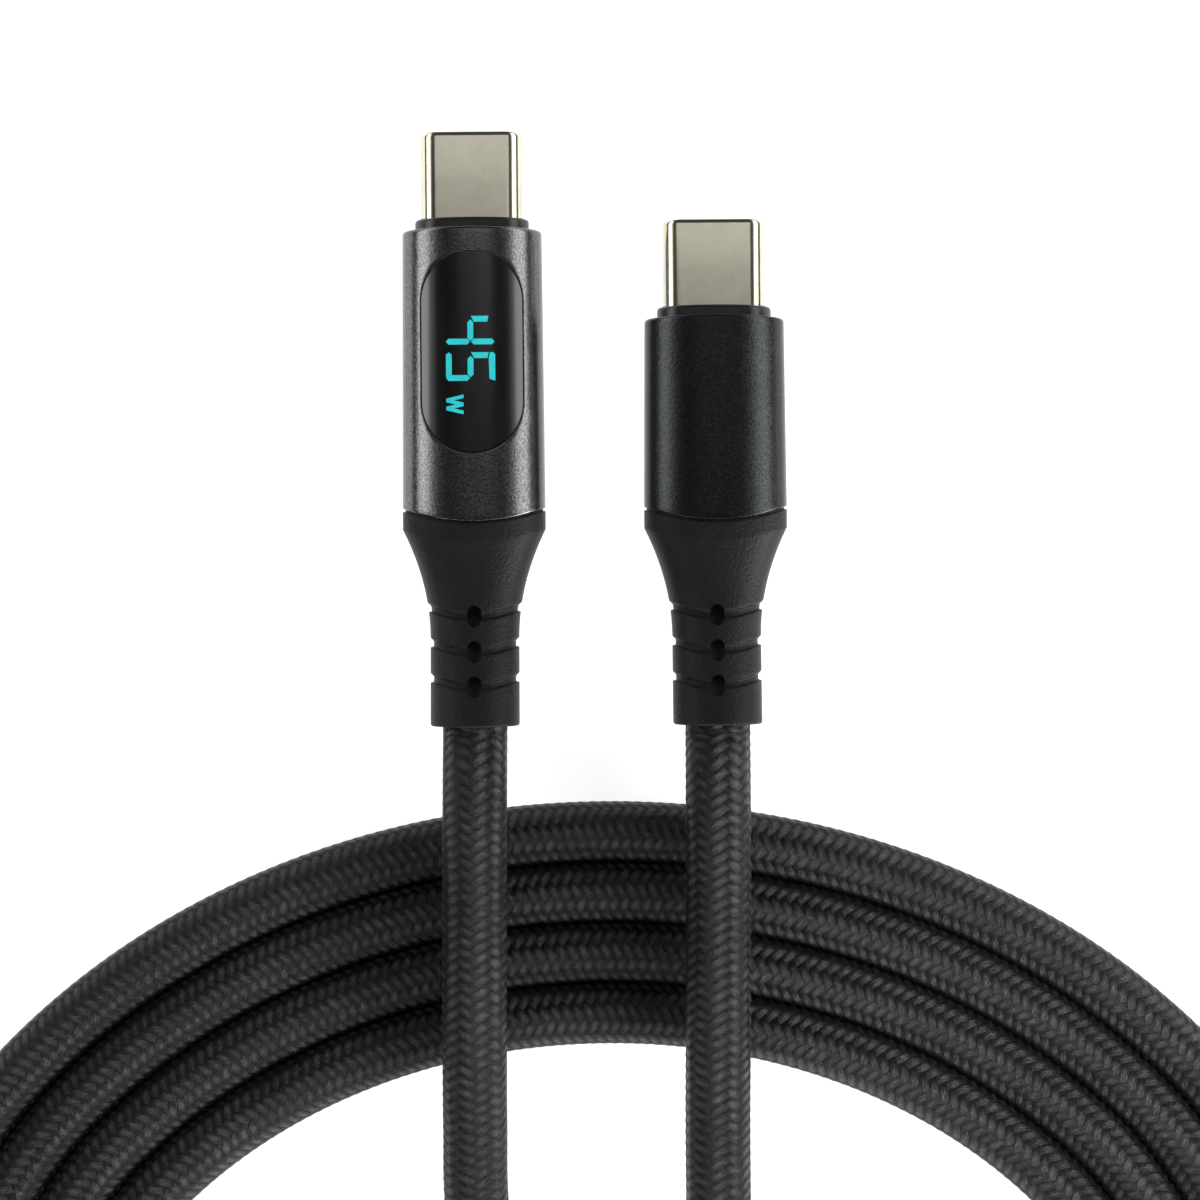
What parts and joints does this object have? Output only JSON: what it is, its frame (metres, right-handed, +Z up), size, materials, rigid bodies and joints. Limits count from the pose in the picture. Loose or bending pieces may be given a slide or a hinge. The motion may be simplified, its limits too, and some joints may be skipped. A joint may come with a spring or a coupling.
{
  "type": "usb-c cable with power meter",
  "caption": "Coiled braided USB-C charging cable with a power meter display window in one plug's long metal case, a shorter plain plug, and ribbed strain-relief boots.",
  "frame": {"origin": "on the floor under the middle of the meter plug, measured from its tip to the end of its boot", "axes": "+Y along both plugs, towards their tips; +X across, from the meter plug to the plain plug; +Z up, out of the display window"},
  "size_m": [0.1209, 0.1419, 0.0105],
  "materials": {
    "plug_steel": "nickel-plated steel, satin with a cream cast",
    "insulator": "black moulded nylon",
    "contact_gold": "gold-plated copper strip",
    "spring_steel": "stamped stainless sheet",
    "collar": "dark grey satin",
    "case_metal": "dark gunmetal, satin with a fine grain",
    "boot": "matte dark grey thermoplastic rubber",
    "cord": "black braided nylon yarn",
    "jacket": "black extruded jacket",
    "mould": "off-white inner moulding",
    "board": "green solder mask",
    "chip": "black epoxy",
    "ceramic": "tan ceramic",
    "copper": "copper alloy",
    "panel": "black display panel",
    "reading": "lit teal characters on a dark plate",
    "lens": "polished smoked acrylic",
    "wire_black": "black insulation",
    "wire_white": "white insulation",
    "wire_blue": "blue insulation",
    "wire_green": "green insulation",
    "wire_red": "red insulation"
  },
  "bodies": {
    "cable": {"meter_plug_shell": "plug_steel", "meter_plug_insulator": "insulator", "meter_upper_contacts": "contact_gold", "meter_lower_contacts": "contact_gold", "meter_latch_plate": "spring_steel", "meter_nose_collar": "collar", "meter_case": "case_metal", "meter_boot": "boot", "meter_shield_can": "spring_steel", "meter_inner_mould": "mould", "meter_board": "board", "meter_marker_chip": "chip", "meter_capacitor": "ceramic", "meter_cable_crimp": "spring_steel", "meter_cable_jacket": "jacket", "meter_ground_wire": "wire_black", "meter_data_minus_wire": "wire_white", "meter_sense_wire": "wire_blue", "meter_data_plus_wire": "wire_green", "meter_power_wire": "wire_red", "meter_board_carrier": "mould", "meter_power_chip": "chip", "meter_driver_chip": "chip", "meter_shunt_resistor": "copper", "meter_display_panel": "panel", "meter_display_reading": "reading", "meter_display_lens": "lens", "plain_plug_shell": "plug_steel", "plain_plug_insulator": "insulator", "plain_upper_contacts": "contact_gold", "plain_lower_contacts": "contact_gold", "plain_latch_plate": "spring_steel", "plain_nose_collar": "collar", "plain_case": "case_metal", "plain_boot": "boot", "plain_shield_can": "spring_steel", "plain_inner_mould": "mould", "plain_board": "board", "plain_marker_chip": "chip", "plain_capacitor": "ceramic", "plain_cable_crimp": "spring_steel", "plain_cable_jacket": "jacket", "plain_ground_wire": "wire_black", "plain_data_minus_wire": "wire_white", "plain_sense_wire": "wire_blue", "plain_data_plus_wire": "wire_green", "plain_power_wire": "wire_red", "cord_coil": "cord", "cord_leg_meter": "cord", "cord_leg_plain": "cord"},
    "meter_left_latch_arm": {"meter_left_latch": "spring_steel"},
    "meter_right_latch_arm": {"meter_right_latch": "spring_steel"},
    "plain_left_latch_arm": {"plain_left_latch": "spring_steel"},
    "plain_right_latch_arm": {"plain_right_latch": "spring_steel"}
  },
  "joints": [
    {"name": "meter_left_latch_flex", "type": "hinge", "parent": "cable", "child": "meter_left_latch_arm", "pos_m": [-0.0031, 0.0155, 0.0037], "axis": [0, 0, 1], "range_deg": [0, 1.6], "stiffness_Nm_per_rad": 0.3},
    {"name": "meter_right_latch_flex", "type": "hinge", "parent": "cable", "child": "meter_right_latch_arm", "pos_m": [0.0031, 0.0155, 0.0037], "axis": [0, 0, -1], "range_deg": [0, 1.6], "stiffness_Nm_per_rad": 0.3},
    {"name": "plain_left_latch_flex", "type": "hinge", "parent": "cable", "child": "plain_left_latch_arm", "pos_m": [0.0165, 0.00825, 0.0037], "axis": [0, 0, 1], "range_deg": [0, 1.6], "stiffness_Nm_per_rad": 0.3},
    {"name": "plain_right_latch_flex", "type": "hinge", "parent": "cable", "child": "plain_right_latch_arm", "pos_m": [0.0227, 0.00825, 0.0037], "axis": [0, 0, -1], "range_deg": [0, 1.6], "stiffness_Nm_per_rad": 0.3}
  ]
}
